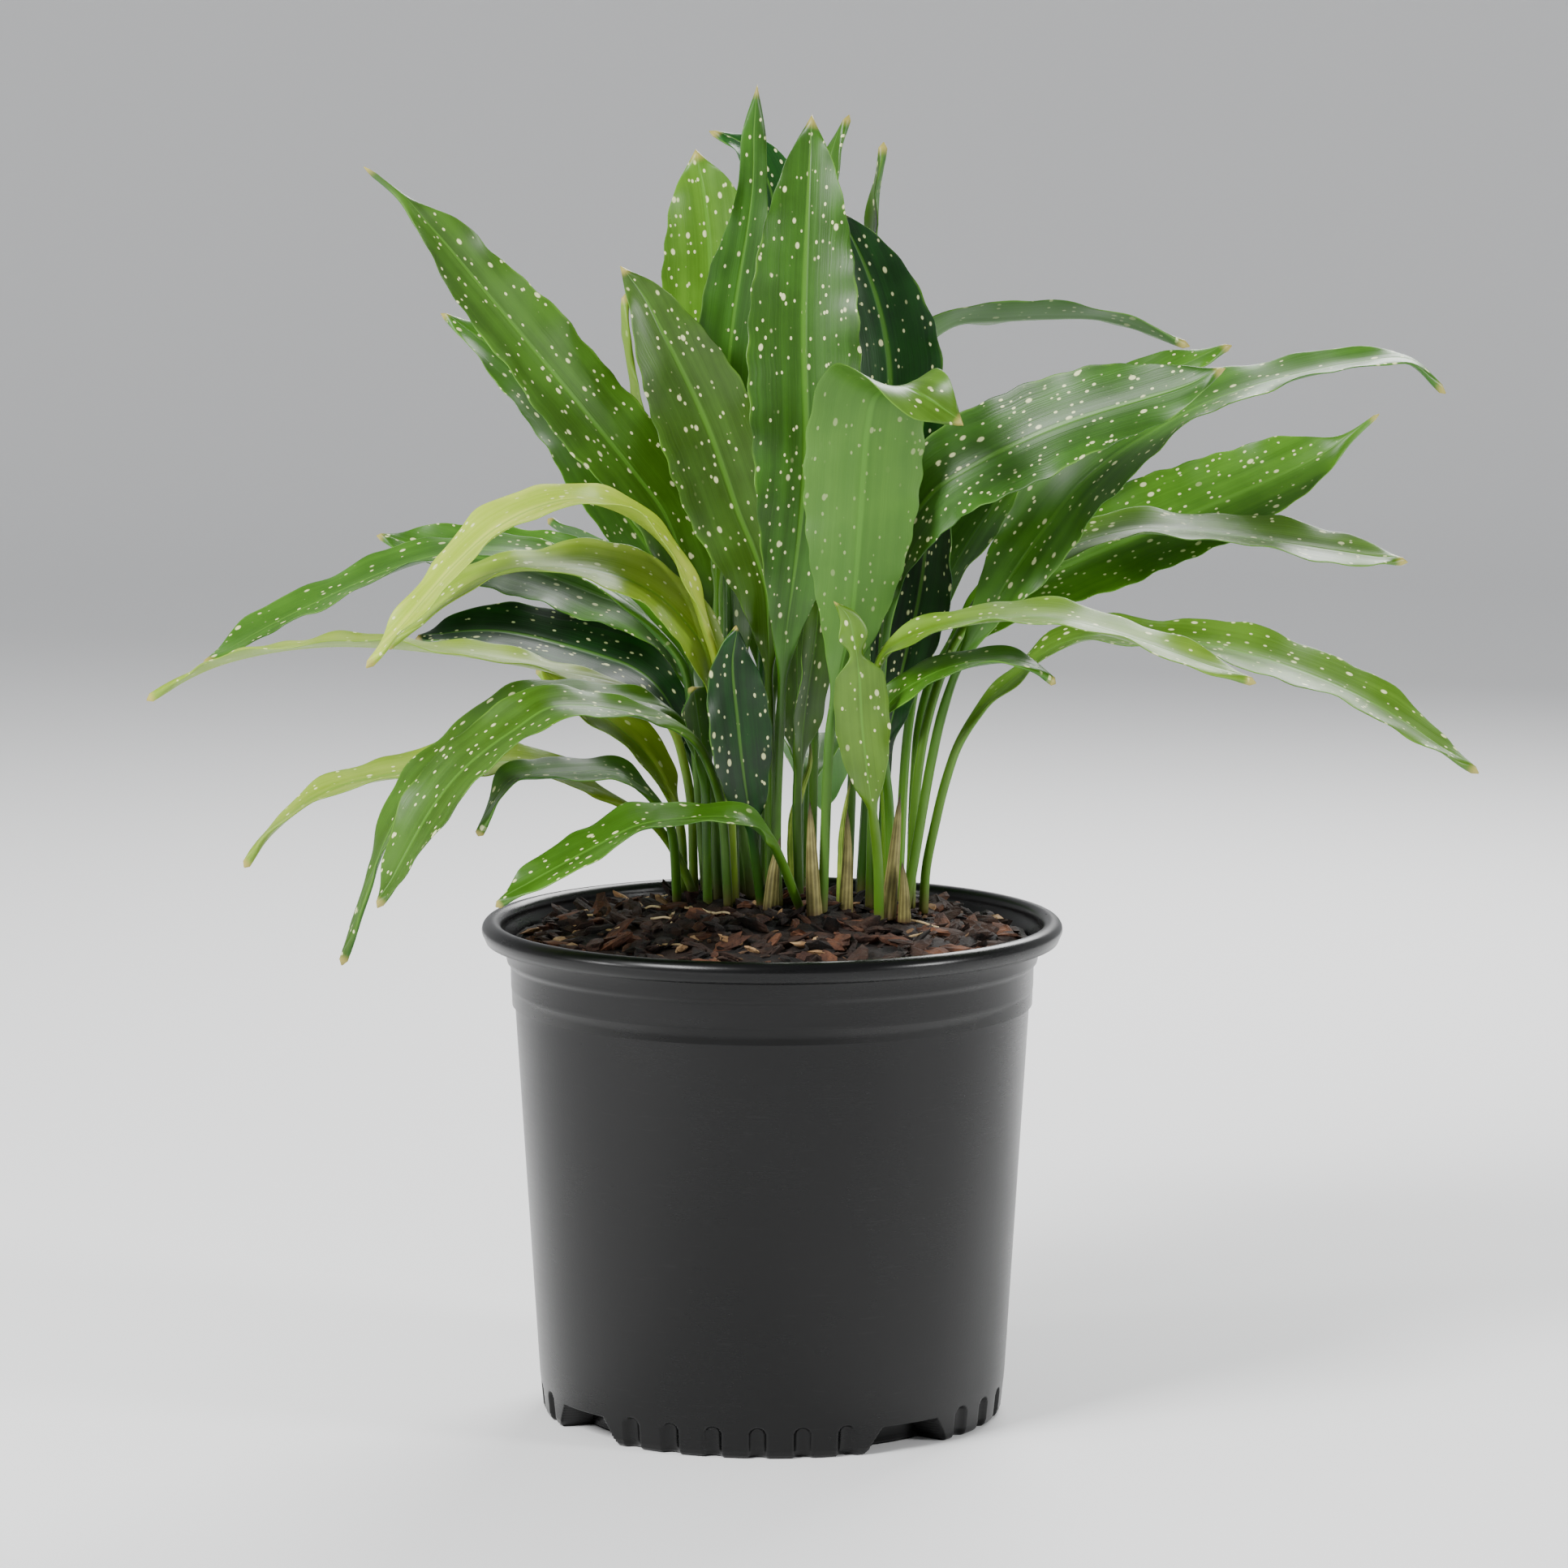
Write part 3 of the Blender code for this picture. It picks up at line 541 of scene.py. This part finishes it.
def heap(x, y):
    """The mix's surface at x, y: the dome, with lumps from two pairs of crossed sines."""
    dome = MIX_HIGH[2] - MIX_HEAP * (x * x + y * y) / MIX_R**2
    broad = np.sin(x * 210 + 1) * np.sin(y * 190 + 2)
    lumps = broad + 0.6 * np.sin(x * 430 + y * 260) * np.sin(y * 510 - 1)
    return dome - 0.0012 + 0.0011 * lumps


def mix_surface(look):
    """The heap as a round grid: radius and angle, closed underneath."""
    rings, sides = 90, 200
    r = np.linspace(0.0005, MIX_R + 0.0006, rings)[::-1]
    t = 2 * np.pi * np.arange(sides) / sides
    x = r[:, None] * np.cos(t)
    y = r[:, None] * np.sin(t)
    z = heap(x, y) + RNG.normal(0, 0.00035, x.shape)
    points = np.stack([x, y, z], -1).reshape(-1, 3)
    low = np.stack([x[0], y[0], np.full(sides, MIX_HIGH[2] - 0.035)], -1)
    points = np.vstack([low, points])
    total = rings + 1
    caps = [list(range(sides - 1, -1, -1)), list(range((total - 1) * sides, total * sides))]
    made = add_mesh("mix_surface", points, grid_faces(total, sides) + caps, look)
    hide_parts("potting_mix")


def ball():
    """A small ball's vertices and faces, from latitude and longitude."""
    rows, cols = 5, 7
    lat = np.linspace(-1.2, 1.2, rows)
    lon = 2 * np.pi * np.arange(cols) / cols
    points = np.stack([np.cos(lat)[:, None] * np.cos(lon), np.cos(lat)[:, None] * np.sin(lon),
                       np.repeat(np.sin(lat)[:, None], cols, 1)], -1).reshape(-1, 3)
    caps = [list(range(cols - 1, -1, -1)), list(range((rows - 1) * cols, rows * cols))]
    return points, grid_faces(rows, cols) + caps


def chips(name, look, count, low, high, slimness=0.5):
    """Bark chips strewn on the heap: jittered, flattened balls turned at random."""
    shape, faces = ball()
    n = len(shape)
    all_points, all_faces = [], []
    for k in range(count):
        r = (MIX_R - 0.006) * math.sqrt(RNG.uniform())
        a = RNG.uniform(0, 2 * math.pi)
        size = RNG.uniform(low, high)
        jitter = RNG.uniform(0.72, 1.25, (n, 1))
        body = shape * jitter * (size, size * slimness, size * RNG.uniform(0.16, 0.34))
        tilt = RNG.normal(0, 0.35, 2)
        yaw = RNG.uniform(0, 2 * math.pi)
        c, s = math.cos(yaw), math.sin(yaw)
        u, v, up = body[:, 0], body[:, 1], body[:, 2]
        body = np.stack([c * u - s * v, s * u + c * v, up + u * tilt[0] + v * tilt[1]], 1)
        x, y = r * math.cos(a), r * math.sin(a)
        body += (x, y, float(heap(np.array(x), np.array(y))) + size * 0.13)
        all_points.append(body)
        all_faces += [[k * n + i for i in f] for f in faces]
    add_mesh(name, np.vstack(all_points), all_faces, look, False)


def straws(look):
    """Pale straws that lie on the heap, as thin five-sided rods."""
    all_points, all_faces = [], []
    t = 2 * np.pi * np.arange(STRAW_SIDES) / STRAW_SIDES
    total = STRAW_RINGS * STRAW_SIDES
    caps = [list(range(STRAW_SIDES - 1, -1, -1)), list(range(total - STRAW_SIDES, total))]
    for k in range(STRAW_COUNT):
        r, a = (MIX_R - 0.03) * math.sqrt(RNG.uniform()), RNG.uniform(0, 6.28)
        yaw, length = RNG.uniform(0, 6.28), RNG.uniform(0.008, 0.024)
        u = np.linspace(-0.5, 0.5, STRAW_RINGS) * length
        x = r * math.cos(a) + u * math.cos(yaw)
        y = r * math.sin(a) + u * math.sin(yaw)
        z = heap(x, y) + 0.0022 + 0.08 * u
        rod = np.stack([x[:, None] + 0 * t, y[:, None] + STRAW_RADIUS * np.cos(t),
                        z[:, None] + STRAW_RADIUS * np.sin(t)], -1)
        all_points.append(rod.reshape(-1, 3))
        all_faces += [[k * total + i for i in f] for f in grid_faces(STRAW_RINGS, STRAW_SIDES) + caps]
    add_mesh("straws", np.vstack(all_points), all_faces, look)


# Each leaf's brightness, yellowness and spots, from 0 to 1
LOOKS = {
    "leaf_centre_tall": (0.35, 0.05, 0.75), "leaf_front_folded_tip": (0.45, 0.12, 0.45),
    "leaf_centre_left": (0.30, 0.08, 0.65), "leaf_spear": (0.45, 0.05, 0.5),
    "leaf_behind_spear": (0.8, 0.15, 0.6), "leaf_back_curled_tip": (0.3, 0.0, 0.6),
    "leaf_back_right_broad": (0.15, 0.0, 0.6), "leaf_left_yellow_arch": (0.8, 0.85, 0.3),
    "leaf_left_yellow_green": (0.8, 0.5, 0.5), "leaf_left_twisted": (0.7, 0.55, 0.3),
    "leaf_left_dark": (0.1, 0.0, 0.6), "leaf_left_low_long": (0.6, 0.45, 0.4),
    "leaf_left_low_behind": (0.6, 0.45, 0.4), "leaf_right_high_broad": (0.4, 0.05, 0.85),
    "leaf_right_bright_behind": (0.75, 0.1, 0.5), "leaf_right_dark": (0.05, 0.0, 0.6),
    "leaf_right_bright_broad": (0.85, 0.12, 0.75), "leaf_right_middle": (0.65, 0.15, 0.5),
    "leaf_front_right_arching": (0.7, 0.25, 0.5), "leaf_right_low_drooping": (0.6, 0.15, 0.6),
    "leaf_front_dark": (0.1, 0.0, 0.7), "leaf_front_centre": (0.5, 0.15, 0.5),
    "leaf_pale_edge_on": (0.7, 0.4, 0.3),
}


def build_plant():
    leaf_look = leaf_material()
    sheath_look = sheath_material("sheath_khaki", rgb(92, 86, 44), rgb(150, 142, 84))
    young_look = sheath_material("young_leaf", rgb(98, 128, 40), rgb(160, 182, 70))
    names = sorted(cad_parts)
    for seed, name in enumerate(names):
        if name.startswith("leaf_"):
            plain = (0.35 + 0.3 * math.sin(seed * 2.4) ** 2, 0.08, 0.55)
            bright, yellow, spotty = LOOKS.get(name, plain)
            leaf_surface(name, leaf_look, (bright, yellow, spotty, seed + 1))
        elif name.startswith("sheath_"):
            spike_surface(name, sheath_look, 1.0)
        elif name.startswith("young_"):
            spike_surface(name, young_look, 2.0)


# Chips, their bark, its dark and light colours, how many, and the smallest and largest half length
CHIPS = (
    ("chips_dark", "bark_dark", (18, 13, 10), (58, 38, 27), 520, 0.003, 0.010),
    ("chips_red", "bark_red", (52, 30, 20), (104, 66, 44), 150, 0.003, 0.011),
    ("chips_tan", "bark_tan", (122, 90, 58), (184, 150, 108), 46, 0.003, 0.009),
    ("chips_small", "bark_fine", (44, 30, 22), (110, 84, 60), 420, 0.0012, 0.003),
)


def build_pot():
    pot_surface(pot_material())
    mix_surface(bark_material("bark_mix", rgb(14, 10, 8), rgb(44, 30, 22)))
    for name, look, dark, light, count, low, high in CHIPS:
        chips(name, bark_material(look, rgb(*dark), rgb(*light)), count, low, high)
    straws(bark_material("straw", rgb(168, 140, 96), rgb(214, 192, 150)))


# Lights: place, the point each is aimed at, side and watts
LIGHTS = (
    ("key", (-1.5, -1.5, 2.0), (0, 0, 0.3), 0.9, 100),
    ("fill", (2.1, -1.0, 0.9), (0, 0, 0.25), 0.5, 36),
    ("back", (0.6, 1.8, 1.7), (0, 0, 0.4), 1.2, 60),
    ("strip", (-2.2, -0.9, 0.8), (0, 0, 0.2), 0.4, 18),
)


def area_light(name, place, aim, size, power):
    data = bpy.data.lights.new(name, "AREA")
    data.energy = power
    data.size = size
    made = bpy.data.objects.new(name, data)
    made.location = place
    direction = np.array(aim) - np.array(place)
    made.rotation_euler = Vector(direction).to_track_quat("-Z", "Y").to_euler()
    bpy.context.scene.collection.objects.link(made)


def build_studio():
    """A pale round floor that curves up into a wall, the lights and the camera."""
    mesh = bpy.data.meshes.new("floor")
    rise = np.radians(np.linspace(0, 90, 16))
    section = [(0.01, 0.0), (FLOOR_R, 0.0)]
    section += [(FLOOR_R + WALL_R * math.sin(a), WALL_R - WALL_R * math.cos(a)) for a in rise[1:]]
    turn = 2 * np.pi * np.arange(FLOOR_SIDES) / FLOOR_SIDES
    rows = np.array([[(r * math.cos(a), r * math.sin(a), z) for a in turn] for r, z in section])
    faces = grid_faces(len(section), FLOOR_SIDES) + [list(range(FLOOR_SIDES))]
    mesh.from_pydata(rows.reshape(-1, 3).tolist(), [], faces)
    mesh.polygons.foreach_set("use_smooth", [True] * len(mesh.polygons))
    floor = bpy.data.objects.new("floor", mesh)
    look, shader, kit = new_material("floor")
    feed(shader, kit, Base_Color=(0.93, 0.93, 0.93, 1), Roughness=0.8)
    mesh.materials.append(look)
    bpy.context.scene.collection.objects.link(floor)
    world = bpy.data.worlds.new("studio")
    world.use_nodes = True
    world.node_tree.nodes["Background"].inputs[0].default_value = (0.95, 0.97, 1.0, 1)
    world.node_tree.nodes["Background"].inputs[1].default_value = 0.42
    bpy.context.scene.world = world
    for name, place, aim, size, power in LIGHTS:
        area_light(name, place, aim, size, power)
    data = bpy.data.cameras.new("camera")
    data.lens = CAMERA_LENS
    camera = bpy.data.objects.new("camera", data)
    camera.location = CAMERA_PLACE
    camera.rotation_euler = (math.radians(90 - CAMERA_DOWN), 0, 0)
    bpy.context.scene.collection.objects.link(camera)
    bpy.context.scene.camera = camera


build_plant()
build_pot()
build_studio()
